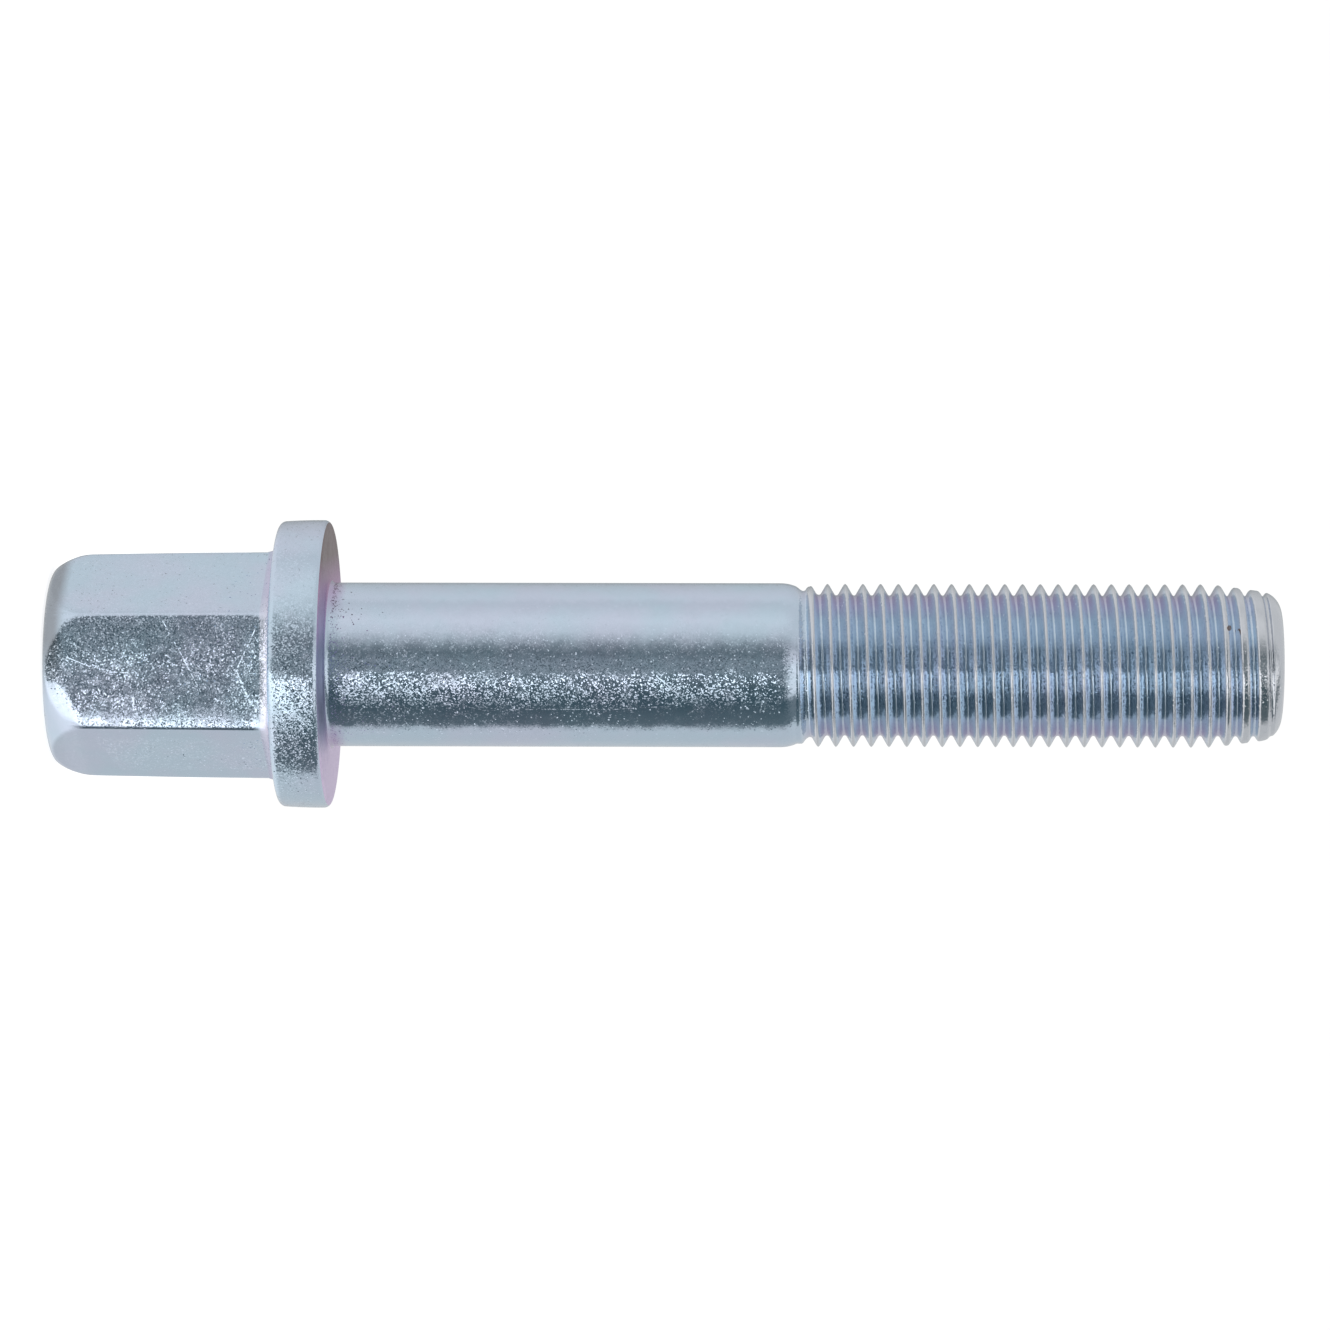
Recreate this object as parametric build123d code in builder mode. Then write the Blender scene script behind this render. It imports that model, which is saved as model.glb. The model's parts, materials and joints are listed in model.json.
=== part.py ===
from build123d import *
import math
import os

# Hex collar bolt, M14 x 1.5, forged in one piece, then thread-rolled.
# The axis is Z. The bolt stands on its head: z = 0 is the head's end face and the tip points up.
# Two flats of the hex face +Y and -Y, and two of its corners lie on the X axis.

# Hex
hex_across_flats = 17.0  # where it meets the collar
hex_height = 19.3
hex_draft = 0.67  # degrees, each flat leans in towards the end face
hex_corner_radius = 0.5
hex_fillet_radius = 1.1

# Rounded end of the hex
end_face_diameter = 14.8
nose_radius = 1.3
nose_turn = 55.0  # degrees of arc, from the end face to the crown
crown_radius = 5.65
crown_turn = 33.7  # degrees of arc, after which the crown runs off the hex in a straight line

# Collar
collar_diameter = 24.5
collar_thickness = 4.25
collar_taper = 1.7  # degrees, the rim narrows towards the bearing face
collar_edge_radius = 0.55  # on the side of the hex
bearing_edge_chamfer = 0.4

# Shank
under_head_length = 80.45
under_head_fillet_radius = 0.5
shank_diameter = 13.9
shank_length = 38.2  # from the bearing face to the shoulder
shoulder_length = 1.4
blank_diameter = 13.3  # the bare ring between the shoulder and the first crest
blank_length = 0.85

# Threaded end, at the diameter of the crests
thread_diameter = 13.76
crest_rise_angle = 13.5  # degrees from the axis, the slope from the bare ring up to the first crest

# Tip
tip_taper_length = 5.9
tip_diameter = 12.2
tip_edge_radius = 1.9

bearing_height = hex_height + collar_thickness
shoulder_height = bearing_height + shank_length
tip_height = bearing_height + under_head_length

collar_radius = collar_diameter / 2
shank_radius = shank_diameter / 2
blank_radius = blank_diameter / 2
thread_radius = thread_diameter / 2
tip_radius = tip_diameter / 2

with BuildPart() as bolt:
    # Hex, at its full size where it meets the collar
    with BuildSketch(Plane.XY):
        RegularPolygon(hex_across_flats / 2, side_count=6, major_radius=False)
    extrude(amount=hex_height)
    draft(bolt.faces().filter_by(Axis.Z, reverse=True), Plane.XY.offset(hex_height), -hex_draft)
    side_corners = bolt.edges().filter_by(lambda edge: abs(edge.tangent_at(0.5).Z) > 0.9)
    fillet(side_corners, hex_corner_radius)

    # Rounded end: a turned outline that trims the hex
    with BuildSketch(Plane.XZ):
        with BuildLine():
            end_face = Line((0, 0), (end_face_diameter / 2, 0))
            nose = JernArc(end_face @ 1, end_face % 1, nose_radius, nose_turn)
            crown = JernArc(nose @ 1, nose % 1, crown_radius, crown_turn)
            run_off = hex_height - (crown @ 1).Y
            side = Line(crown @ 1, crown @ 1 + crown % 1 * (run_off / (crown % 1).Y))
            Polyline(side @ 1, (0, hex_height), (0, 0))
        make_face()
    revolve(axis=Axis.Z, mode=Mode.INTERSECT)

    # Collar, shank and threaded end
    bearing_edge_radius = collar_radius - collar_thickness * math.tan(math.radians(collar_taper))
    blank_end = shoulder_height + shoulder_length + blank_length
    rise = abs(thread_radius - blank_radius) / math.tan(math.radians(crest_rise_angle))
    with BuildSketch(Plane.XZ):
        with BuildLine():
            FilletPolyline(
                (0, hex_height),
                (collar_radius, hex_height),
                (bearing_edge_radius, bearing_height - bearing_edge_chamfer),
                (bearing_edge_radius - bearing_edge_chamfer, bearing_height),
                (shank_radius, bearing_height),
                (shank_radius, shoulder_height),
                radius=(collar_edge_radius, 0, 0, under_head_fillet_radius),
            )
            shoulder = TangentArc(
                (shank_radius, shoulder_height),
                (blank_radius, shoulder_height + shoulder_length),
                tangent=(0, 1),
            )
            Polyline(
                shoulder @ 1,
                (blank_radius, blank_end),
                (thread_radius, blank_end + rise),
                (thread_radius, tip_height - tip_taper_length),
            )
            FilletPolyline(
                (thread_radius, tip_height - tip_taper_length),
                (tip_radius, tip_height),
                (0, tip_height),
                radius=tip_edge_radius,
            )
            Line((0, tip_height), (0, hex_height))
        make_face()
    revolve(axis=Axis.Z)
    hex_foot = bolt.edges().filter_by_position(Axis.Z, hex_height, hex_height)
    fillet(hex_foot.filter_by(lambda edge: not edge.is_closed), hex_fillet_radius)

os.makedirs("parts", exist_ok=True)
bolt.part.label = "bolt"
export_step(bolt.part, "parts/bolt.step")
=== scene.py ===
import json
import math

import bpy
import numpy as np
from mathutils import Matrix, Vector

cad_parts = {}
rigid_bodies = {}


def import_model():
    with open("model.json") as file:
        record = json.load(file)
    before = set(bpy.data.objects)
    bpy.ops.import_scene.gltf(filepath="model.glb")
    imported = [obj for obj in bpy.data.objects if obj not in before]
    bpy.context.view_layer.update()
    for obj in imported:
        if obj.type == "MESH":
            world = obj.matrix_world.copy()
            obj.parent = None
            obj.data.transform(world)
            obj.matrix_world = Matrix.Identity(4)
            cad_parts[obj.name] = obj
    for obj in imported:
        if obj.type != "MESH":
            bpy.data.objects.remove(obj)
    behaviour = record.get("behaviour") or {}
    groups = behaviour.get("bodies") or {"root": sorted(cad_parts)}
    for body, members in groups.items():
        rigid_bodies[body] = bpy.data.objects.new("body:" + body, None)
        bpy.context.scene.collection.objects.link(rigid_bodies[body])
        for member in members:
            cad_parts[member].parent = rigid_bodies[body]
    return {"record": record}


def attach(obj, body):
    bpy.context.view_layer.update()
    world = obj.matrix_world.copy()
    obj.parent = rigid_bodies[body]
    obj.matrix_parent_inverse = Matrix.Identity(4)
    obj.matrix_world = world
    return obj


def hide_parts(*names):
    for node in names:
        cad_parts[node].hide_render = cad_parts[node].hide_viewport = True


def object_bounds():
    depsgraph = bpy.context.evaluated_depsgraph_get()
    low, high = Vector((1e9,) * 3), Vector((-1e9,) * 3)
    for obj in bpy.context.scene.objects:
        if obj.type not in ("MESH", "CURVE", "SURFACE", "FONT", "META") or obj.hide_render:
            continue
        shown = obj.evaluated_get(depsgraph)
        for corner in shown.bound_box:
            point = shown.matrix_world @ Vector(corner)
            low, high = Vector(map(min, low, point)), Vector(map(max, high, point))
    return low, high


MM = 0.001  # the scene is in metres, and the sizes below are in millimetres times MM

for leftover in list(bpy.data.objects):
    bpy.data.objects.remove(leftover)

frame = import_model()
cad_low, cad_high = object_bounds()
mounts = {mount["name"]: mount for mount in frame["record"]["mounts"]}

# ---------------------------------------------------------------- sizes of the bolt

BOX_CLEARANCE = 0.02 * MM  # so that nothing reaches past the CAD box
TIP_Z = cad_high.z
COLLAR_RADIUS = cad_high.x - BOX_CLEARANCE
BEARING_Z = mounts["bearing_face"]["pos_m"][2]
SHANK_RADIUS = mounts["shank"]["dims"]["r_mm"] * MM

HEX_FLAT_RADIUS = 8.5 * MM  # half the width across flats, at the collar
HEX_TOP_Z = 19.3 * MM
HEX_DRAFT = math.tan(math.radians(0.67))
HEX_CORNER_RADIUS = 0.35 * MM
ROLL_OFF_WIDTH = 2.6 * MM  # beside each corner the flats curve away a little
ROLL_OFF_DEPTH = 0.09 * MM
HEX_FILLET = 1.1 * MM
HEX_SHIFT = 0.135 * MM  # how far the hex was forged off the axis, towards +X
ROD_SHIFT = 0.035 * MM  # and the shank

END_FACE_RADIUS = 7.4 * MM
NOSE_RADIUS = 1.28 * MM
NOSE_TURN = math.radians(55)
CROWN_RADIUS = 5.65 * MM
CROWN_TURN = math.radians(33.7)
CREASE_WIDTH = 0.16 * MM  # how far the crease between the crown and a flat is softened
NOSE_SHADE_Z = (1.1 * MM, 1.9 * MM)  # the nose takes the painted shade fully below the first height and not at all above the second
BURNISHED_CROWN_Z = 0.6 * MM  # the crown's +X side is burnished up to this height,
BURNISHED_CROWN_SLOPE = 0.5  # and higher towards the corner,
BURNISHED_CROWN_X = 0.6 * MM  # from this far off the axis,
BURNISHED_CROWN_FADE = 1.0 * MM  # with soft borders

COLLAR_BARREL = 45 * MM  # radius of the rim's slightly rounded profile
COLLAR_WIDEST = 0.8  # share of the collar's thickness at which the rim is widest
COLLAR_EDGE = 0.55 * MM
BEARING_EDGE = 0.5 * MM
UNDER_HEAD_FILLET = 0.5 * MM

SHOULDER_Z = 61.75 * MM
SHOULDER_LENGTH = 1.4 * MM
BLANK_RADIUS = 6.65 * MM
CREST_RISE_Z = (64.0 * MM, 64.95 * MM)  # between these the blank grows to the thread's crests

PITCH = 1.5 * MM
CREST_RADIUS = 6.915 * MM
ROOT_RADIUS = 5.93 * MM
ROOT_ROUNDING = 0.20 * MM
FLANK_SLOPE = math.tan(math.radians(60))
GROOVE_Z = 62.73 * MM  # height of the groove's root at angle 0, carried back to where it starts
RUN_OUT_Z = 63.48 * MM
RUN_OUT_LIFT = 0.44 * MM  # how much shallower the groove is at RUN_OUT_Z, and it fades with RUN_OUT_FADE
RUN_OUT_WIDENING = 0.5 * MM  # how much rounder its root is there
RUN_OUT_FADE = 0.72 * MM
CREST_SOFTENING = 0.20 * MM

TIP_TAPER_LENGTH = 5.9 * MM
TIP_TAPER_SOFTENING = 0.1 * MM
TIP_RADIUS = 6.1 * MM
TIP_EDGE = 1.9 * MM

# ---------------------------------------------------------------- grid of the mesh

CORNER_COLUMNS = 6
FLAT_COLUMNS = 24
NOSE_SIDE_LENGTH = 8 * MM  # the turned outline goes straight on past the corners by this length
CREASE_BAND = 0.3 * MM  # rows lie close together this far below and above the crease
FLAT_ROW_CROWDING = 1.3  # above it, rows lie closer to the crown than to the foot
ROD_COLUMNS = 120
ROWS_PER_PITCH = 20
ROW_CROWDING = 0.4  # and closer to the crest and the root of the thread
THREAD_TURNS = 28
THREAD_START_Z = GROOVE_Z - 1.5 * PITCH  # on a crest line, below the first groove
BEARING_ROW_GAP = 0.15 * MM  # between the collar's last row and the rod's first, on the bearing face
TIP_EDGE_ROWS_FROM = math.asin(0.7)  # on the tip's rounded edge, rows are even in angle from here


def soft_min(a, b, width):
    """The smaller of a and b, with the corner where they cross rounded over about the given width."""
    overlap = np.maximum(width - np.abs(a - b), 0) / width
    return np.minimum(a, b) - overlap**2 * width / 4


def arc(centre, radius, start, end, count):
    """Points (r, z) on a circular arc; the angles are measured from +r towards +z."""
    turn = np.linspace(start, end, count + 1)
    return np.stack([centre[0] + radius * np.cos(turn), centre[1] + radius * np.sin(turn)], axis=1)


# ---------------------------------------------------------------- the hex

def from_nearest_corner(angle):
    """Angle to the nearest of the hexagon's corners, one of which lies at angle 0."""
    return np.abs((angle + math.pi / 6) % (math.pi / 3) - math.pi / 6)


def nearness_to_corner(from_corner, flat_radius):
    """1 at a corner, and 0 along a flat from ROLL_OFF_WIDTH beside it."""
    beside = flat_radius * (math.tan(math.pi / 6) - np.tan(math.pi / 6 - from_corner))
    return np.clip(1 - beside / ROLL_OFF_WIDTH, 0, 1)


def hex_radius(angle, flat_radius, corner_radius):
    """Distance from the axis to a hexagon with rounded corners and flats that roll off beside them."""
    from_corner = from_nearest_corner(angle)
    on_flat = flat_radius / np.cos(math.pi / 6 - from_corner)
    centre = (flat_radius - corner_radius) / math.cos(math.pi / 6)
    reach = np.maximum(corner_radius**2 - (centre * np.sin(from_corner)) ** 2, 0)
    on_corner = centre * np.cos(from_corner) + np.sqrt(reach)
    arc_ends = np.arctan2(corner_radius / 2, centre + corner_radius * math.cos(math.pi / 6))
    roll_off = ROLL_OFF_DEPTH * nearness_to_corner(from_corner, flat_radius) ** 2
    return np.where(from_corner < arc_ends, on_corner, on_flat) - roll_off


def flat_radius_at(z):
    return HEX_FLAT_RADIUS - (HEX_TOP_Z - z) * HEX_DRAFT


def head_angles():
    """Angles of the head's columns: close together round each corner, even along each flat."""
    centre = (HEX_FLAT_RADIUS - HEX_CORNER_RADIUS) / math.cos(math.pi / 6)
    arc_end = math.atan2(HEX_CORNER_RADIUS / 2, centre + HEX_CORNER_RADIUS * math.cos(math.pi / 6))
    corner = np.linspace(-arc_end, arc_end, CORNER_COLUMNS + 1)[:-1]
    half_flat = math.tan(math.pi / 6 - arc_end)
    flat = math.pi / 6 + np.arctan(np.linspace(-half_flat, half_flat, FLAT_COLUMNS + 1)[:-1])
    sixth = np.concatenate([corner, flat])
    return np.concatenate([sixth + side * math.pi / 3 for side in range(6)])


def nose_outline():
    """The turned outline (r, z) of the hex's rounded end, from its end face up past the corners."""
    join = NOSE_TURN - math.pi / 2
    nose = arc((END_FACE_RADIUS, NOSE_RADIUS), NOSE_RADIUS, -math.pi / 2, join, 24)
    crown_centre = nose[-1] - CROWN_RADIUS * np.array([math.cos(join), math.sin(join)])
    crown = arc(crown_centre, CROWN_RADIUS, join, join + CROWN_TURN, 48)
    leaving = join + CROWN_TURN + math.pi / 2
    side = crown[-1] + np.array([math.cos(leaving), math.sin(leaving)]) * NOSE_SIDE_LENGTH
    return np.concatenate([nose, crown[1:], np.linspace(crown[-1], side, 40)[1:]])


def crease_travel(angles, outline, travel):
    """How far along the turned outline it meets the hexagon, in each column."""
    outline_r, outline_z = outline.T
    hexagon = hex_radius(angles[:, None], flat_radius_at(outline_z[None, :]), HEX_CORNER_RADIUS)
    after = np.argmax(outline_r[None, :] > hexagon, axis=1)
    before = after - 1
    column = np.arange(len(angles))
    gap_before = hexagon[column, before] - outline_r[before]
    gap_after = outline_r[after] - hexagon[column, after]
    share = gap_before / (gap_before + gap_after)
    return travel[before] + share * (travel[after] - travel[before])


def head_rows(angles):
    """Rows of (r, z) for every column, from the centre of the end face to the foot of the hex."""
    outline = nose_outline()
    outline_r, outline_z = outline.T
    travel = np.concatenate([[0], np.cumsum(np.hypot(*np.diff(outline, axis=0).T))])
    crease = crease_travel(angles, outline, travel)

    def rounded_end(s):
        z = np.interp(s, travel, outline_z)
        across = hex_radius(angles, flat_radius_at(z), HEX_CORNER_RADIUS)
        return soft_min(np.interp(s, travel, outline_r), across, CREASE_WIDTH), z

    level = np.zeros(len(angles))
    rows = [(level + radius, level) for radius in np.linspace(0, END_FACE_RADIUS, 6)[1:-1]]
    for share in np.linspace(0, 1, 16)[:-1]:
        rows.append(rounded_end(share * (crease - CREASE_BAND)))
    for offset in np.linspace(-CREASE_BAND, CREASE_BAND, 13):
        rows.append(rounded_end(crease + offset))
    start_z = rows[-1][1]
    foot_z = HEX_TOP_Z - HEX_FILLET
    for share in np.linspace(0, 1, 31)[1:]:
        z = start_z + share**FLAT_ROW_CROWDING * (foot_z - start_z)
        across = hex_radius(angles, flat_radius_at(z), HEX_CORNER_RADIUS)
        outside = np.interp(z, outline_z, outline_r)
        rows.append((soft_min(outside, across, CREASE_WIDTH), z))
    return rows


def burnish_at(points):
    """1 on the corners and the crown of the hex's +X side, and 0 in the middle of a flat."""
    x, y, z = points.T
    from_corner = from_nearest_corner(np.arctan2(y, x - HEX_SHIFT))
    by_corner = nearness_to_corner(from_corner, flat_radius_at(z))
    border_z = BURNISHED_CROWN_Z + BURNISHED_CROWN_SLOPE * x
    under_border = np.clip(1 - (z - border_z) / BURNISHED_CROWN_FADE, 0, 1)
    beside_axis = np.clip((x - BURNISHED_CROWN_X) / BURNISHED_CROWN_FADE, 0, 1)
    return np.maximum(by_corner, under_border * beside_axis) * (x > 0) * (z < HEX_TOP_Z)


def nose_shade_share(z):
    """Share of the painted shade: 1 on the nose and on the end face, and 0 from the crown upwards."""
    return np.clip((NOSE_SHADE_Z[1] - z) / (NOSE_SHADE_Z[1] - NOSE_SHADE_Z[0]), 0, 1)


def foot_fillet_rows(angles):
    """The hexagon grows outwards as the fillet turns from its flats into the collar's face."""
    rows = []
    foot_z = HEX_TOP_Z - HEX_FILLET
    for turn in np.linspace(0, math.pi / 2, 10)[1:]:
        spread = HEX_FILLET * (1 - math.cos(turn))
        z = foot_z + HEX_FILLET * math.sin(turn)
        across = hex_radius(angles, flat_radius_at(foot_z) + spread, HEX_CORNER_RADIUS + spread)
        rows.append((across, np.full(len(angles), z)))
    return rows


# ---------------------------------------------------------------- the collar

def rim_point(z):
    widest_z = HEX_TOP_Z + COLLAR_WIDEST * (BEARING_Z - HEX_TOP_Z)
    lean = np.arcsin((z - widest_z) / COLLAR_BARREL)
    return COLLAR_RADIUS - COLLAR_BARREL * (1 - np.cos(lean)), lean


def collar_outline():
    """The collar's profile (r, z) from its face on the hex's side, over the rim, to its bearing face."""
    head_side_r, head_side_lean = rim_point(HEX_TOP_Z + COLLAR_EDGE)
    bearing_r, bearing_lean = rim_point(BEARING_Z - BEARING_EDGE)
    edge_centre = (head_side_r - COLLAR_EDGE, HEX_TOP_Z + COLLAR_EDGE)
    edge = arc(edge_centre, COLLAR_EDGE, -math.pi / 2, head_side_lean, 8)
    under_centre = (bearing_r - BEARING_EDGE, BEARING_Z - BEARING_EDGE)
    under = arc(under_centre, BEARING_EDGE, bearing_lean, math.pi / 2, 8)
    rim_z = np.linspace(edge[-1][1], under[0][1], 12)[1:-1]
    rim = np.stack([rim_point(rim_z)[0], rim_z], axis=1)
    return np.concatenate([edge, rim, under])


def collar_rows(angles, foot_radius):
    """Rows from the foot of the hex over the collar's rim to the middle of the bearing face."""
    outline = collar_outline()
    level = np.full(len(angles), HEX_TOP_Z)
    rows = [(foot_radius + share * (outline[0][0] - foot_radius), level) for share in (0.25, 0.5, 0.75)]
    last = outline[-1]
    face = np.linspace(last, (bearing_face_middle(), BEARING_Z), 5)[1:]
    for radius, z in np.concatenate([outline, face]):
        rows.append((np.full(len(angles), radius), np.full(len(angles), z)))
    return rows


def bearing_face_middle():
    return (COLLAR_RADIUS - BEARING_EDGE + SHANK_RADIUS) / 2


# ---------------------------------------------------------------- the threaded rod

TIP_LEAN = math.atan((CREST_RADIUS - TIP_RADIUS) / TIP_TAPER_LENGTH)
TIP_ARC_Z = TIP_Z - TIP_EDGE
TIP_ARC_RADIUS = TIP_RADIUS - TIP_EDGE / math.cos(TIP_LEAN) + TIP_EDGE * math.tan(TIP_LEAN)


def tip_edge_radius(z):
    """Radius of the rounded edge of the tip, and no limit below it."""
    above = z - TIP_ARC_Z
    on_arc = TIP_ARC_RADIUS + np.sqrt(np.maximum(TIP_EDGE**2 - above**2, 0))
    return np.where(above > TIP_EDGE * math.sin(TIP_LEAN), on_arc, np.inf)


def envelope(z):
    """Radius of the rod at a height, before the thread's groove is cut into it."""
    radius = np.full_like(z, SHANK_RADIUS)
    drop = SHANK_RADIUS - BLANK_RADIUS
    arc_radius = (SHOULDER_LENGTH**2 + drop**2) / (2 * drop)
    along = np.clip(z - SHOULDER_Z, 0, SHOULDER_LENGTH)
    radius -= arc_radius - np.sqrt(arc_radius**2 - along**2)
    rise = np.clip((z - CREST_RISE_Z[0]) / (CREST_RISE_Z[1] - CREST_RISE_Z[0]), 0, 1)
    radius += (CREST_RADIUS - BLANK_RADIUS) * rise**2 * (3 - 2 * rise)
    taper = CREST_RADIUS + (TIP_Z - TIP_TAPER_LENGTH - z) * math.tan(TIP_LEAN)
    radius = np.where(z > CREST_RISE_Z[1], soft_min(radius, taper, TIP_TAPER_SOFTENING), radius)
    return np.minimum(radius, tip_edge_radius(z))


def groove(angle, z):
    """Radius of the thread's groove: a right-hand V of 60 degrees with a round root."""
    turns = (z - GROOVE_Z) / PITCH - angle / (2 * math.pi)
    from_root = np.abs(turns - np.round(turns)) * PITCH
    fade = np.exp(-(z - RUN_OUT_Z) / RUN_OUT_FADE)
    root = ROOT_RADIUS + RUN_OUT_LIFT * fade
    rounding = ROOT_ROUNDING + RUN_OUT_WIDENING * np.minimum(fade, 1)
    arc_end = rounding * math.cos(math.radians(30))
    on_arc = rounding - np.sqrt(np.maximum(rounding**2 - from_root**2, 0))
    on_flank = rounding / 2 + (from_root - arc_end) * FLANK_SLOPE
    return root + np.where(from_root < arc_end, on_arc, on_flank)


def rod_radius(angle, z):
    return soft_min(envelope(z), groove(angle, z), CREST_SOFTENING)


def hollow_of_thread(radius, z):
    """How deep a point lies in the groove: 0 on a crest, 1 at the root."""
    return np.clip((envelope(z) - radius) / (CREST_RADIUS - ROOT_RADIUS), 0, 1)


# ---------------------------------------------------------------- the skin of the whole bolt

class Skin:
    """Vertices and faces, laid row by row from the middle of the end face to the middle of the tip.

    Each vertex also says how hollow its place is: 1 deep in a corner or a groove, 0 in the open
    and on a crest, and -1 on the hex's nose, whose -X side takes painted shade.
    """

    def __init__(self):
        self.points = []
        self.hollows = []
        self.faces = []

    def add(self, angle, radius, z, shift=0, hollow=0):
        """New vertices, one for each entry of the arrays, and their numbers."""
        first = len(self.points)
        places = np.broadcast_arrays(radius * np.cos(angle) + shift, radius * np.sin(angle), z)
        self.points.extend(np.stack(places, axis=1))
        self.hollows.extend(np.broadcast_to(hollow, places[0].shape))
        return list(range(first, len(self.points)))

    def face(self, *corners):
        distinct = tuple(dict.fromkeys(corners))
        if len(distinct) > 2:
            self.faces.append(distinct)

    def strip(self, row, following):
        for k in range(len(row)):
            n = (k + 1) % len(row)
            self.face(row[k], row[n], following[n], following[k])

    def rows(self, angles, rows, previous, shift=0, hollows=None):
        """Adds closed rows of (radius, z) round x = shift over the previous one; returns the last."""
        hollows = hollows or [0] * len(rows)
        for (radius, z), hollow in zip(rows, hollows):
            row = self.add(angles, radius + 0 * angles, z + 0 * angles, shift, hollow)
            self.strip(previous, row)
            previous = row
        return previous

    def zip_rows(self, row, row_angles, following, following_angles):
        """Joins two closed rows that have different numbers of vertices."""

        def angle_after(angles, index):
            following_lap, place = divmod(index + 1, len(angles))
            return angles[place] + 2 * math.pi * following_lap if index < len(angles) else math.inf

        i = j = 0
        while i < len(row) or j < len(following):
            here, there = row[i % len(row)], following[j % len(following)]
            if angle_after(row_angles, i) <= angle_after(following_angles, j):
                self.face(here, row[(i + 1) % len(row)], there)
                i += 1
            else:
                self.face(here, following[(j + 1) % len(following)], there)
                j += 1


def add_thread(skin, angles, base):
    """Lays rows that climb with the helix, so that every crest and root has rows of its own.

    One band winds round the rod. It opens from nothing over its first turn, above the level row base,
    each turn stands on the one before, and it closes again under the level row that is returned.
    """
    columns = len(angles)
    even = np.arange(ROWS_PER_PITCH + 1) / ROWS_PER_PITCH
    shares = even - ROW_CROWDING * np.sin(4 * math.pi * even) / (4 * math.pi)
    band = []
    for step in range(columns * (THREAD_TURNS + 1) + 1):
        low = THREAD_START_Z + PITCH * min(max(step / columns - 1, 0), THREAD_TURNS)
        high = THREAD_START_Z + PITCH * min(step / columns, THREAD_TURNS)
        foot = base[step % columns] if step <= columns else band[step - columns][-1]
        if high - low < 1e-9:
            band.append([foot] * len(shares))
            continue
        z = low + shares[1:] * (high - low)
        angle = angles[step % columns] + 0 * z
        radius = rod_radius(angle, z)
        band.append([foot] + skin.add(angle, radius, z, ROD_SHIFT, hollow_of_thread(radius, z)))
    for left, right in zip(band, band[1:]):
        for i in range(ROWS_PER_PITCH):
            skin.face(left[i], right[i], right[i + 1], left[i + 1])
    closing = columns * THREAD_TURNS
    return [band[closing + k][-1] for k in range(columns)]


def rod_rows():
    """Level rows from the inner half of the bearing face up the shank, and how hollow each is."""
    fillet_centre = (SHANK_RADIUS + UNDER_HEAD_FILLET, BEARING_Z + UNDER_HEAD_FILLET)
    fillet = arc(fillet_centre, UNDER_HEAD_FILLET, -math.pi / 2, -math.pi, 8)
    face = np.linspace((bearing_face_middle() - BEARING_ROW_GAP, BEARING_Z), fillet[0], 5)[:-1]
    shank = np.linspace(fillet[-1], (SHANK_RADIUS, THREAD_START_Z), 26)[1:]
    hollows = [0] * (len(face) - 1) + [0.6] + [1] * len(fillet) + [0] * len(shank)
    return list(np.concatenate([face, fillet, shank])), hollows


def tip_rows(angles, start_z):
    """Level rows from the end of the thread's band over the tip's edge, to just short of its middle."""
    edge = np.linspace(TIP_EDGE_ROWS_FROM, math.pi / 2, 12)
    edge_z = TIP_ARC_Z + TIP_EDGE * np.sin(edge)
    heights = np.concatenate([np.linspace(start_z, edge_z[0], 24)[1:], edge_z[1:]])
    rows = [(rod_radius(angles, z + 0 * angles), z) for z in heights]
    for share in np.linspace(1, 0, 6)[1:-1]:
        rows.append((rows[-1][0] * share, TIP_Z))
    return rows


def bolt_skin():
    """The head on its own columns, then the collar, and the rod on the columns of the thread."""
    skin = Skin()
    angles = head_angles()
    pole = skin.add(np.zeros(1), np.zeros(1), np.zeros(1), HEX_SHIFT)[0]
    rows = head_rows(angles)
    last = skin.rows(angles, rows, [pole] * len(angles), HEX_SHIFT, [-nose_shade_share(z) for _, z in rows])
    fillet = foot_fillet_rows(angles)
    last = skin.rows(angles, fillet, last, HEX_SHIFT, list(np.linspace(0.5, 1, len(fillet))))
    last = skin.rows(angles, collar_rows(angles, fillet[-1][0]), last)

    rod_angles = np.arange(ROD_COLUMNS) * 2 * math.pi / ROD_COLUMNS
    rows, hollows = rod_rows()
    radius, z = rows[0]
    first = skin.add(rod_angles, radius + 0 * rod_angles, z + 0 * rod_angles, ROD_SHIFT)
    skin.zip_rows(last, angles, first, rod_angles)
    base = skin.rows(rod_angles, rows[1:], first, ROD_SHIFT, hollows[1:])
    closing = add_thread(skin, rod_angles, base)
    rows = tip_rows(rod_angles, skin.points[closing[0]][2])
    last = skin.rows(rod_angles, rows, closing, ROD_SHIFT)
    pole = skin.add(np.zeros(1), np.zeros(1), np.full(1, TIP_Z), ROD_SHIFT)[0]
    skin.strip(last, [pole] * ROD_COLUMNS)
    return skin


def mesh_object(name, points, faces):
    mesh = bpy.data.meshes.new(name)
    mesh.from_pydata([tuple(map(float, p)) for p in points], [], faces)
    mesh.update()
    mesh.shade_smooth()
    piece = bpy.data.objects.new(name, mesh)
    bpy.context.scene.collection.objects.link(piece)
    return piece


# ---------------------------------------------------------------- node helpers

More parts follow.
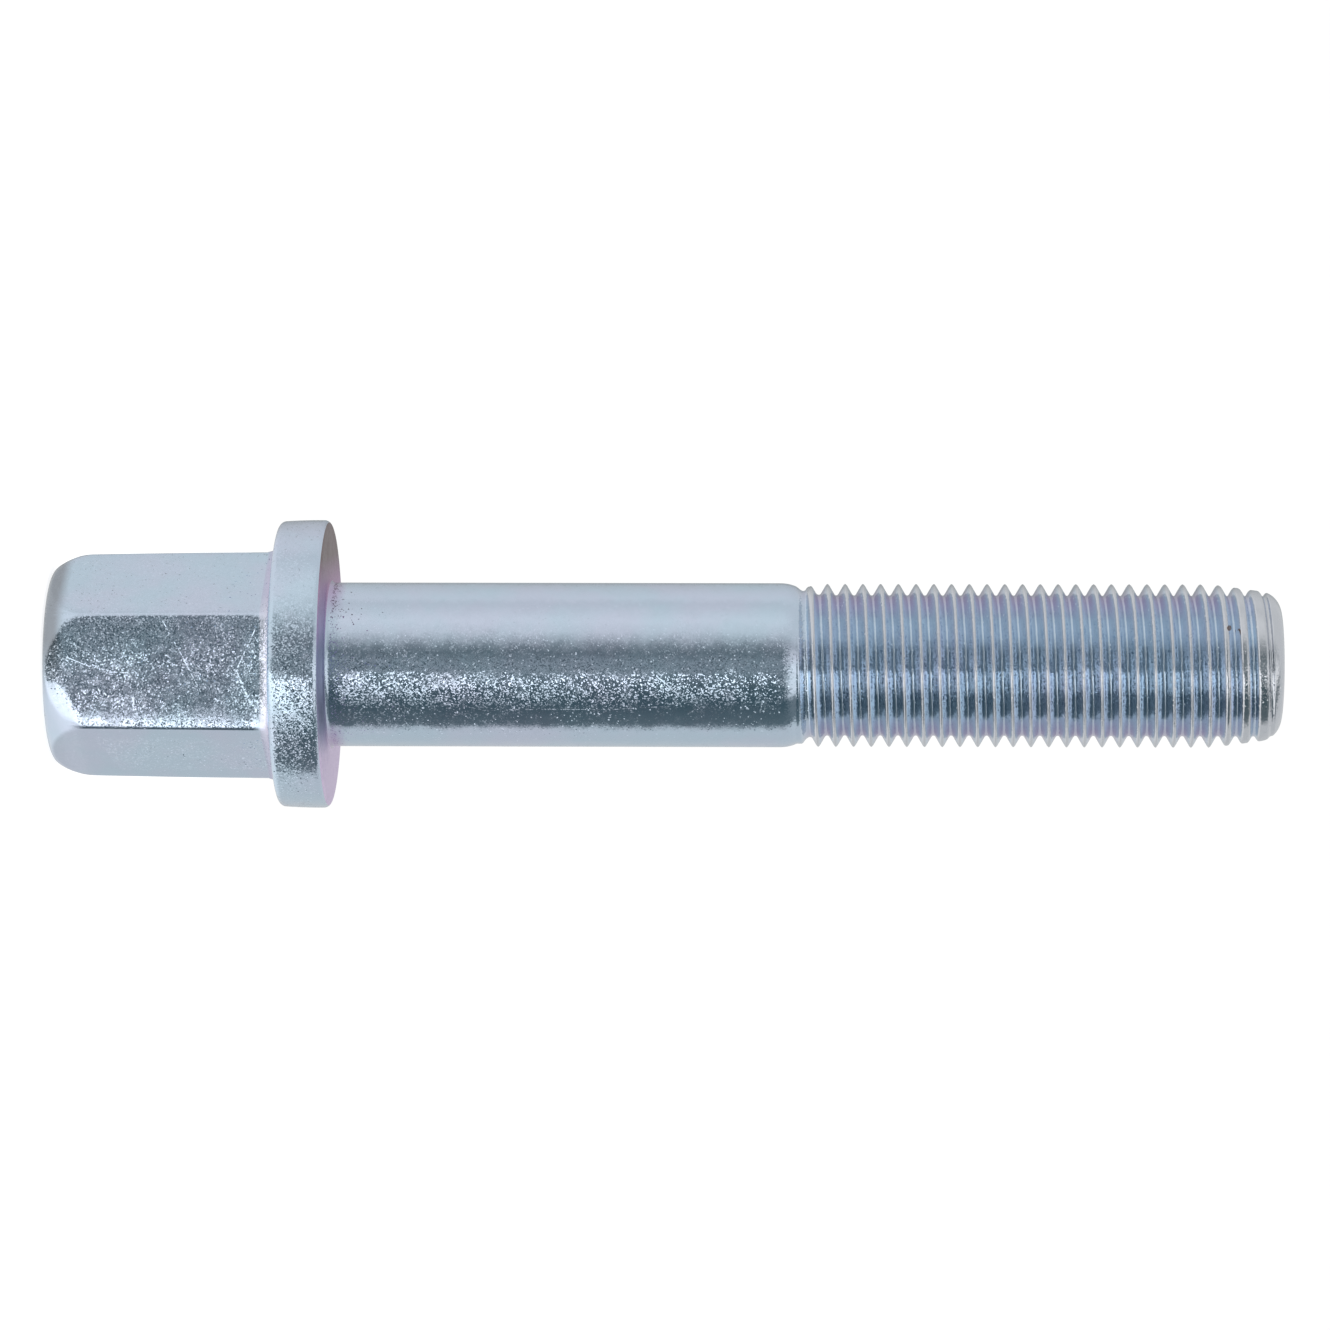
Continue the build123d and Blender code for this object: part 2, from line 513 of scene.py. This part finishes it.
class Nodes:
    """Short calls for building a node tree."""

    def __init__(self, tree):
        self.tree = tree

    def feed(self, value, socket):
        """Links a socket, or sets a number, a vector or a colour."""
        if isinstance(value, bpy.types.NodeSocket):
            self.tree.links.new(value, socket)
        else:
            socket.default_value = value

    def add(self, kind, **settings):
        node = self.tree.nodes.new("ShaderNode" + kind)
        for name, value in settings.items():
            setattr(node, name, value)
        return node

    def math(self, operation, *inputs, clamp=False):
        node = self.add("Math", operation=operation, use_clamp=clamp)
        for value, socket in zip(inputs, node.inputs):
            self.feed(value, socket)
        return node.outputs[0]

    def vector(self, operation, *inputs):
        node = self.add("VectorMath", operation=operation)
        for value, socket in zip(inputs, node.inputs):
            self.feed(value, socket)
        single = operation in ("DOT_PRODUCT", "LENGTH", "DISTANCE")
        return node.outputs["Value" if single else "Vector"]

    def scaled(self, vector, factor):
        node = self.add("VectorMath", operation="SCALE")
        self.feed(vector, node.inputs["Vector"])
        self.feed(factor, node.inputs["Scale"])
        return node.outputs["Vector"]

    def mix(self, factor, first, second, blend="MIX"):
        """A mix of two colours."""
        node = self.add("Mix", data_type="RGBA", blend_type=blend)
        self.feed(factor, node.inputs["Factor"])
        for value, socket in ((first, node.inputs["A"]), (second, node.inputs["B"])):
            self.feed((*value, 1) if isinstance(value, tuple) else value, colour_socket(node, socket.name))
        return colour_output(node)

    def steps(self, factor, stops):
        """A ramp: stops are (position, value), where a value is a grey or a colour."""
        node = self.add("ValToRGB")
        elements = node.color_ramp.elements
        while len(elements) < len(stops):
            elements.new(0.5)
        for element, (position, value) in zip(elements, stops):
            element.position = position
            colour = value if isinstance(value, tuple) else (value, value, value)
            element.color = (*colour, 1)
        self.feed(factor, node.inputs["Fac"])
        return node.outputs["Color"]

    def part_of(self, vector, axis):
        node = self.add("SeparateXYZ")
        self.feed(vector, node.inputs["Vector"])
        return node.outputs[axis]

    def noise(self, place, size, detail=2.0, roughness=0.5, output="Fac"):
        node = self.add("TexNoise")
        self.feed(place, node.inputs["Vector"])
        node.inputs["Scale"].default_value = 1 / size
        node.inputs["Detail"].default_value = detail
        node.inputs["Roughness"].default_value = roughness
        return node.outputs[output]

    def attribute(self, name):
        return self.add("Attribute", attribute_name=name).outputs["Fac"]


def colour_socket(node, name):
    return next(socket for socket in node.inputs if socket.name == name and socket.type == "RGBA")


def colour_output(node):
    return next(socket for socket in node.outputs if socket.type == "RGBA")


# ---------------------------------------------------------------- zinc plate

BLUE_GREY = (0.545, 0.665, 0.775)
LILAC_GREY = (0.59, 0.65, 0.78)
CLOUD_SIZE = 7 * MM
LILAC_CLOUDS = [(0.40, 0.0), (0.62, 1.0)]
# Painted light in the hollows: darker blue as painted shade, purple on the sides as a painted sheen, and
# pinkish white at the hex's foot as a painted highlight
HOLLOW_PAINTED_SHARE = [(0.25, 0.0), (0.9, 0.85)]  # how much of the next colours the hollows take
HOLLOW_SHADE_BLUE = (0.50, 0.60, 0.71)
# A painted sheen: the passivation's purple as seen at a slant
SIDE_SHEEN_PURPLE = (0.46, 0.36, 0.55)
SHEEN_SIDES = [(0.60, 0.0), (0.90, 1.0)]  # painted sheen on shares of the shank's radius, to the +X and -X sides
FOOT_HIGHLIGHT_PINK = (0.82, 0.76, 0.86)  # painted highlight, pinkish white, in the middle of the fillet at the foot of the hex
CREST_GREY = (0.60, 0.62, 0.66)
CREST_WIDTH = [(0.10, 1.0), (0.32, 0.0)]  # by how hollow the thread is
# Painted shade: a darker grey on the -X side of the hex's nose
NOSE_SHADE_GREY = (0.33, 0.36, 0.40)
BEARING_DEPTH = 0.12 * MM  # what lies so close to the bearing face's height takes the painted reflections
# The next two run from 0 on the collar's -X side to 1 on its +X side: the painted shade on the nose, and
# the painted reflections on the bearing face
NOSE_SHADE_SIDES = [(0.40, 1.0), (0.60, 0.1)]
# Painted reflections on the bearing face: the shadowed table in brown grey on the -X side, bands of purple
# and dark blue, and pink-lilac light on the +X side
BEARING_REFLECTIONS = [
    (0.12, (0.25, 0.20, 0.20)),
    (0.22, (0.46, 0.31, 0.46)),
    (0.36, (0.46, 0.38, 0.60)),
    (0.44, (0.32, 0.34, 0.50)),
    (0.70, (0.34, 0.34, 0.48)),
    (0.80, (0.76, 0.64, 0.84)),
]
RUST_BROWN = (0.20, 0.14, 0.12)
RUST_SPOT = (-3.5, 99.3)  # its place (x, z) in millimetres, on the side that faces the camera
RUST_RADIUS = 0.27 * MM
RUST_EDGE_SIZE = 0.25 * MM
RUST_EDGE_DEPTH = 0.1 * MM

CHALK_SIZE = 1.1 * MM  # duller spots, where the dark window blurs to grey
CHALK_ROUGHNESS = [(0.48, 0.10), (0.66, 0.25)]
CREST_ROUGHENING = 0.05
BEARING_ROUGHENING = 0.35
PIT_SIZE = 0.2 * MM
PIT_DEPTH = 0.004 * MM

# The crystals of the plating catch light one by one: how far the surface leans from grain to grain
GRAIN_SIZE = 0.10 * MM
GRAIN_LEAN = 0.36  # the most that a plain grain leans along the bolt
GRAIN_SIDE_LEAN = 0.085  # and across it
SPARK_SHARE = 0.07  # this share of the grains
SPARK_LEAN = 3.5  # leans so many times more
PATCH_SIZE = 4 * MM
PATCH_LEAN = [(0.35, 0.5), (0.6, 1.0)]  # shares of the lean, from patch to patch
SHANK_LEAN = 0.45  # and on the drawn shank and the thread
BURNISHED_LEAN = [(0.1, 1.0), (0.5, 0.2)]  # and where the head is burnished

WAVE_SIZE = 1.3 * MM  # the surface is also a little uneven
WAVE_LEAN = 0.16
CREST_LEAN = (0, 0, -0.12)  # the worn crests lean towards the head
CROWN_LEAN = (0.10, 0, -0.08)  # and the burnished flats towards the crown
CROWN_LEAN_Z = (2.6 * MM, 3.6 * MM)  # from where that fades and where it ends

# Scratches on the side that faces the camera: points (x, z) and a width, in millimetres
SCRATCHES = [
    ([(-3.6, 18.1), (0.06, 16.4)], 0.13),
    ([(0.06, 16.4), (3.0, 17.7)], 0.20),
    ([(-4.2, 10.2), (-1.3, 11.8), (1.8, 13.4)], 0.10),
    ([(-1.1, 2.0), (-0.3, 4.0), (0.0, 5.4)], 0.10),
    ([(0.2, 5.8), (0.25, 8.0)], 0.11),
    ([(2.2, 7.7), (3.3, 7.8)], 0.20),
    ([(3.62, 60.1), (2.83, 60.3)], 0.16),
    ([(3.62, 60.4), (2.83, 60.6)], 0.16),
    ([(2.7, 33.3), (3.5, 37.0), (3.4, 42.1), (3.4, 47.6), (3.1, 52.6)], 0.10),
    ([(3.75, 54.1), (3.1, 55.3)], 0.20),
    ([(0.2, 51.1), (2.1, 53.3)], 0.14),
    ([(-0.6, 30.0), (-1.1, 31.3), (-0.8, 33.3)], 0.12),
]
SCRATCH_LEAN = (0.12, 0, -0.2)
SCRATCH_BREAK_SIZE = 0.4 * MM
SCRATCH_BREAKS = [(0.42, 0.15), (0.58, 0.9)]


def on_front(n, place):
    return n.math("LESS_THAN", n.part_of(place, "Y"), 0.0)


def scratch_mask(n, place):
    """Up to 1 inside the scratches on the side that faces -Y, and 0 elsewhere."""
    flat = n.vector("MULTIPLY", place, (1, 0, 1))
    mask = 0.0
    for points, width in SCRATCHES:
        for (x1, z1), (x2, z2) in zip(points, points[1:]):
            start = Vector((x1, 0, z1)) * MM
            along = Vector((x2, 0, z2)) * MM - start
            reach = n.vector("DOT_PRODUCT", n.vector("SUBTRACT", flat, tuple(start)), tuple(along))
            share = n.math("DIVIDE", reach, along.length_squared, clamp=True)
            nearest = n.vector("ADD", n.scaled(tuple(along), share), tuple(start))
            gap = n.math("DIVIDE", n.vector("DISTANCE", flat, nearest), width * MM / 2)
            mask = n.math("MAXIMUM", mask, n.math("MULTIPLY_ADD", gap, -2.0, 2.0, clamp=True))
    mask = n.math("MULTIPLY", mask, on_front(n, place))
    return n.math("MULTIPLY", mask, n.steps(n.noise(place, SCRATCH_BREAK_SIZE, 3, 0.6), SCRATCH_BREAKS))


def rust_mask(n, place):
    """1 in one speck near the tip, on the side that faces -Y."""
    spot = Vector((RUST_SPOT[0], 0, RUST_SPOT[1])) * MM
    away = n.vector("DISTANCE", n.vector("MULTIPLY", place, (1, 0, 1)), tuple(spot))
    away = n.math("MULTIPLY_ADD", n.noise(place, RUST_EDGE_SIZE), RUST_EDGE_DEPTH, away)
    return n.math("MULTIPLY", n.math("LESS_THAN", away, RUST_RADIUS), on_front(n, place))


def grain_lean(n, place):
    """How the grains lean: most of them a little, a few a lot, and all mostly along the axis."""
    cells = n.add("TexVoronoi")
    n.feed(place, cells.inputs["Vector"])
    cells.inputs["Scale"].default_value = 1 / GRAIN_SIZE
    random = cells.outputs["Color"]
    lean = n.vector("SUBTRACT", random, (0.5, 0.5, 0.5))
    # Squared with its sign kept, which runs from -0.25 to 0.25, and then brought to the full lean
    lean = n.vector("MULTIPLY", lean, n.vector("ABSOLUTE", lean))
    lean = n.vector("MULTIPLY", lean, (4 * GRAIN_SIDE_LEAN, 4 * GRAIN_SIDE_LEAN, 4 * GRAIN_LEAN))
    lean = n.vector("MULTIPLY", lean, n.steps(n.noise(place, PATCH_SIZE, 4, 0.6), PATCH_LEAN))
    on_rod = n.math("GREATER_THAN", n.part_of(place, "Z"), BEARING_Z)
    lean = n.scaled(lean, n.math("MULTIPLY_ADD", on_rod, SHANK_LEAN - 1, 1.0))
    spark = n.math("LESS_THAN", n.part_of(random, "X"), SPARK_SHARE)
    return n.scaled(lean, n.math("MULTIPLY_ADD", spark, SPARK_LEAN - 1, 1.0))


def wave_lean(n, place):
    waves = n.noise(place, WAVE_SIZE, 5, 0.65, output="Color")
    return n.scaled(n.vector("SUBTRACT", waves, (0.5, 0.5, 0.5)), WAVE_LEAN)


def crown_lean(n, place, burnish):
    fade_z, end_z = CROWN_LEAN_Z
    fade = n.math("DIVIDE", n.math("SUBTRACT", end_z, n.part_of(place, "Z")), end_z - fade_z, clamp=True)
    return n.scaled(CROWN_LEAN, n.math("MULTIPLY", burnish, fade))


def plated_normal(n, place, crest):
    """The surface's normal with every lean of the plating added."""
    burnish = n.attribute("burnish")
    lean = n.vector("ADD", grain_lean(n, place), wave_lean(n, place))
    lean = n.scaled(lean, n.steps(burnish, BURNISHED_LEAN))
    lean = n.vector("ADD", lean, n.scaled(CREST_LEAN, crest))
    lean = n.vector("ADD", lean, crown_lean(n, place, burnish))
    lean = n.vector("ADD", lean, n.scaled(SCRATCH_LEAN, scratch_mask(n, place)))
    surface = n.add("NewGeometry").outputs["Normal"]
    return n.vector("NORMALIZE", n.vector("ADD", surface, lean))


def plated_colour(n, place, hollow, crest, on_bearing):
    """Clouds of blue and lilac grey, hollows with painted shade, sheen and highlight, greyer crests,
    painted shade on the nose and painted reflections on the bearing face.
    """
    clouds = n.steps(n.noise(place, CLOUD_SIZE, 4, 0.55), LILAC_CLOUDS)
    colour = n.mix(clouds, BLUE_GREY, LILAC_GREY)
    on_head = n.math("LESS_THAN", n.part_of(place, "Z"), BEARING_Z)
    # Painted highlight: pinkish white in the fillet at the hex's foot
    hollow_painted_light = n.mix(on_head, HOLLOW_SHADE_BLUE, FOOT_HIGHLIGHT_PINK)
    # Painted sheen: purple on the +X and -X sides
    sideways = n.math("DIVIDE", n.math("ABSOLUTE", n.part_of(place, "X")), SHANK_RADIUS)
    hollow_painted_light = n.mix(n.steps(sideways, SHEEN_SIDES), hollow_painted_light, SIDE_SHEEN_PURPLE)
    # Painted shade: the hollows take the darker blue, with the painted highlight and sheen mixed in above
    colour = n.mix(n.steps(hollow, HOLLOW_PAINTED_SHARE), colour, hollow_painted_light)
    across = n.math("MULTIPLY_ADD", n.part_of(place, "X"), 0.5 / COLLAR_RADIUS, 0.5)
    # Painted shade, darker grey, on the nose's -X side
    nose_shading = n.math("MULTIPLY", hollow, -1.0, clamp=True)
    colour = n.mix(n.math("MULTIPLY", nose_shading, n.steps(across, NOSE_SHADE_SIDES)), colour, NOSE_SHADE_GREY)
    colour = n.mix(crest, colour, CREST_GREY)
    # Painted reflections on the bearing face, by the side
    colour = n.mix(on_bearing, colour, n.steps(across, BEARING_REFLECTIONS))
    return n.mix(rust_mask(n, place), colour, RUST_BROWN)


def zinc_material():
    """Bright zinc plate with a blue-clear passivation."""
    material = bpy.data.materials.new("zinc_plate")
    material.use_nodes = True
    n = Nodes(material.node_tree)
    shader = material.node_tree.nodes["Principled BSDF"]
    shader.inputs["Metallic"].default_value = 1.0
    place = n.add("TexCoord").outputs["Object"]
    hollow = n.attribute("hollow")
    in_thread = n.math("GREATER_THAN", n.part_of(place, "Z"), CREST_RISE_Z[0])
    crest = n.math("MULTIPLY", in_thread, n.steps(n.math("ABSOLUTE", hollow), CREST_WIDTH))
    on_bearing = n.math("COMPARE", n.part_of(place, "Z"), BEARING_Z, BEARING_DEPTH)
    n.feed(plated_colour(n, place, hollow, crest, on_bearing), shader.inputs["Base Color"])

    roughness = n.steps(n.noise(place, CHALK_SIZE, 7, 0.72), CHALK_ROUGHNESS)
    roughness = n.math("MULTIPLY_ADD", crest, CREST_ROUGHENING, roughness)
    roughness = n.math("MULTIPLY_ADD", on_bearing, BEARING_ROUGHENING, roughness)
    n.feed(roughness, shader.inputs["Roughness"])

    pits = n.add("Bump")
    pits.inputs["Strength"].default_value = 0.5
    pits.inputs["Distance"].default_value = PIT_DEPTH
    n.feed(n.noise(place, PIT_SIZE, 3, 0.6), pits.inputs["Height"])
    n.feed(plated_normal(n, place, crest), pits.inputs["Normal"])
    n.feed(pits.outputs["Normal"], shader.inputs["Normal"])
    return material


def white_material(name, glow, albedo):
    """Plain white that also glows a little, so that the picture's ground is even."""
    material = bpy.data.materials.new(name)
    material.use_nodes = True
    shader = material.node_tree.nodes["Principled BSDF"]
    shader.inputs["Base Color"].default_value = (albedo, albedo, albedo, 1)
    shader.inputs["Roughness"].default_value = 0.9
    shader.inputs["Emission Color"].default_value = (1, 1, 1, 1)
    shader.inputs["Emission Strength"].default_value = glow
    return material


# ---------------------------------------------------------------- the bolt

skin = bolt_skin()
bolt = mesh_object("bolt_body", skin.points, skin.faces)
marks = {"hollow": np.array(skin.hollows, dtype=float), "burnish": burnish_at(np.array(skin.points))}
for mark, values in marks.items():
    bolt.data.attributes.new(mark, "FLOAT", "POINT").data.foreach_set("value", values)
bolt.data.materials.append(zinc_material())
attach(bolt, "root")
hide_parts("bolt")

# ---------------------------------------------------------------- floor and backdrop

FLOOR_RADIUS = 0.16
FLOOR_GAP = 0.1 * MM  # so that the floor and the end face aren't in one plane
BACKDROP_RADIUS = 3.0


def disc(name, radius, z, count=96):
    turn = np.arange(count) * 2 * math.pi / count
    ring = [(radius * math.cos(a), radius * math.sin(a), z) for a in turn]
    return mesh_object(name, ring, [tuple(range(count))])


def sphere_shell(name, radius):
    bpy.ops.mesh.primitive_uv_sphere_add(radius=radius, segments=48, ring_count=24)
    shell = bpy.context.object
    shell.name = name
    return shell


floor = disc("floor", FLOOR_RADIUS, -FLOOR_GAP)
floor.data.materials.append(white_material("floor_white", 0.75, 0.6))
floor.visible_glossy = False
backdrop = sphere_shell("backdrop", BACKDROP_RADIUS)
backdrop.data.materials.append(white_material("backdrop_white", 1.0, 0.0))
backdrop.visible_glossy = False
backdrop.visible_diffuse = False
backdrop.visible_shadow = False

# ---------------------------------------------------------------- light

# Angles run from the camera's side (-Y) towards -X, and heights from level upwards, in degrees.
# How open the sky is, level with the bolt's middle, by the angle
LEVEL_LIGHT = [
    (-180, 0.36), (-176.6, 0.38), (-175.6, 0.58), (-140, 0.66), (-124, 0.66), (-104, 0.69), (-98, 0.63),
    (-90, 0.09), (-66, 0.04), (-48, 0.0), (10, 0.02), (20, 0.10), (30, 0.25), (40, 0.55), (50, 0.78),
    (68, 0.90), (85, 0.80), (99, 0.72), (112, 0.82), (130, 0.75), (152, 0.60), (166, 0.40), (180, 0.36),
]
LEVEL_WHITE = (1.0, 1.0, 1.0)
DARK = (0.062, 0.103, 0.120)
# Below the window, where the head's surfaces look
END_DARK = (0.056, 0.086, 0.101)
END_DARK_HEIGHT = [(-7, 1.0), (-3, 0.0)]
END_WHITE = (1.2, 1.2, 1.2)
END_HEIGHT = [(-32, 1.0), (-10, 0.0)]
END_LIGHT = [
    (-180, 0.75), (-110, 0.85), (-60, 1.0), (-9, 1.0), (-5, 0.22), (-1, 0.22), (5, 0.65), (20, 0.75),
    (60, 0.8), (180, 0.7),
]
# Two lamps below the camera's side: shares of their glow by angle and by height
SIDE_LAMP = [(-50, 0.0), (-30, 0.08), (-14, 0.42), (-4, 1.0), (9, 1.0), (20, 0.0)]
SIDE_LAMP_HEIGHT = [(-7.5, 0.0), (-5.5, 1.0), (-4, 0.7), (5, 0.3)]
SIDE_LAMP_GLOW = 0.42
END_LAMP = [(-62, 0.0), (-48, 0.25), (-35, 0.65), (-22, 1.0), (-10, 1.0), (-6.6, 0.0)]
END_LAMP_HEIGHT = [(-34, 0.16), (-18, 0.42), (-9, 1.0), (-6.6, 0.0)]
END_LAMP_GLOW = 2.3
# Above the window, where the shoulder looks
TIP_HEIGHT = [(10, 0.0), (32, 1.0)]
TIP_LIGHT = [
    (-180, 0.75), (-95, 0.70), (-88, 0.15), (-50, 0.15), (-40, 1.0), (-4, 1.0), (5, 0.75), (20, 0.75),
    (32, 0.5), (60, 0.75), (180, 0.75),
]


def by_angle(n, angle, stops):
    return n.steps(angle, [((degrees + 180) / 360, value) for degrees, value in stops])


def by_height(n, height, stops):
    return n.steps(height, [((math.sin(math.radians(degrees)) + 1) / 2, value) for degrees, value in stops])


def lamp(n, angle_share, height_share, glow):
    return n.scaled(n.mix(1.0, angle_share, height_share, "MULTIPLY"), glow)


def sky_coordinates(n):
    """Angle and height of the direction of the light, each from 0 to 1."""
    direction = n.add("TexCoord").outputs["Generated"]
    # Turned so that the gradient is 0.5 along -Y and grows towards -X
    turn = n.add("Mapping")
    turn.inputs["Rotation"].default_value = (math.pi, 0, -math.pi / 2)
    n.feed(direction, turn.inputs["Vector"])
    gradient = n.add("TexGradient", gradient_type="RADIAL")
    n.feed(turn.outputs["Vector"], gradient.inputs["Vector"])
    height = n.math("MULTIPLY_ADD", n.part_of(direction, "Z"), 0.5, 0.5)
    return gradient.outputs["Fac"], height


def studio_world():
    """Soft light from all sides, by direction, with a dark window where the camera stands."""
    world = bpy.data.worlds.new("studio")
    world.use_nodes = True
    n = Nodes(world.node_tree)
    angle, height = sky_coordinates(n)

    window = n.mix(by_height(n, height, END_DARK_HEIGHT), DARK, END_DARK)
    light = n.mix(by_angle(n, angle, LEVEL_LIGHT), window, LEVEL_WHITE)
    at_end = n.mix(by_angle(n, angle, END_LIGHT), END_DARK, END_WHITE)
    light = n.mix(by_height(n, height, END_HEIGHT), light, at_end)
    at_tip = n.mix(by_angle(n, angle, TIP_LIGHT), DARK, LEVEL_WHITE)
    light = n.mix(by_height(n, height, TIP_HEIGHT), light, at_tip)
    for angles, heights, glow in (
        (SIDE_LAMP, SIDE_LAMP_HEIGHT, SIDE_LAMP_GLOW),
        (END_LAMP, END_LAMP_HEIGHT, END_LAMP_GLOW),
    ):
        shine = lamp(n, by_angle(n, angle, angles), by_height(n, height, heights), glow)
        light = n.mix(1.0, light, shine, "ADD")
    n.feed(light, world.node_tree.nodes["Background"].inputs["Color"])
    return world


bpy.context.scene.world = studio_world()

# ---------------------------------------------------------------- camera

CAMERA_DISTANCE = 0.470
CAMERA_LENS = 150
CAMERA_TILT = math.radians(1.8)  # towards the tip
CAMERA_SIDE = math.radians(3.6)  # towards -X
CAMERA_ROLL = math.radians(0.12)
AIM = Vector((0.035 * MM, 0, TIP_Z / 2 - 0.04 * MM))


def photo_camera():
    """Looks along +Y at the whole length of the bolt, with the tip on the right of the picture."""
    data = bpy.data.cameras.new("camera")
    data.lens = CAMERA_LENS
    camera = bpy.data.objects.new("camera", data)
    bpy.context.scene.collection.objects.link(camera)
    level = Vector((-math.sin(CAMERA_SIDE), -math.cos(CAMERA_SIDE), 0))
    back = level * math.cos(CAMERA_TILT) + Vector((0, 0, math.sin(CAMERA_TILT)))
    right = (Vector((0, 0, 1)) - back * back.z).normalized()
    up = back.cross(right)
    turned = Matrix((right, up, back)).transposed() @ Matrix.Rotation(CAMERA_ROLL, 3, "Z")
    camera.matrix_world = Matrix.Translation(AIM + back * CAMERA_DISTANCE) @ turned.to_4x4()
    return camera


bpy.context.scene.camera = photo_camera()
bpy.context.scene.view_settings.view_transform = "Standard"
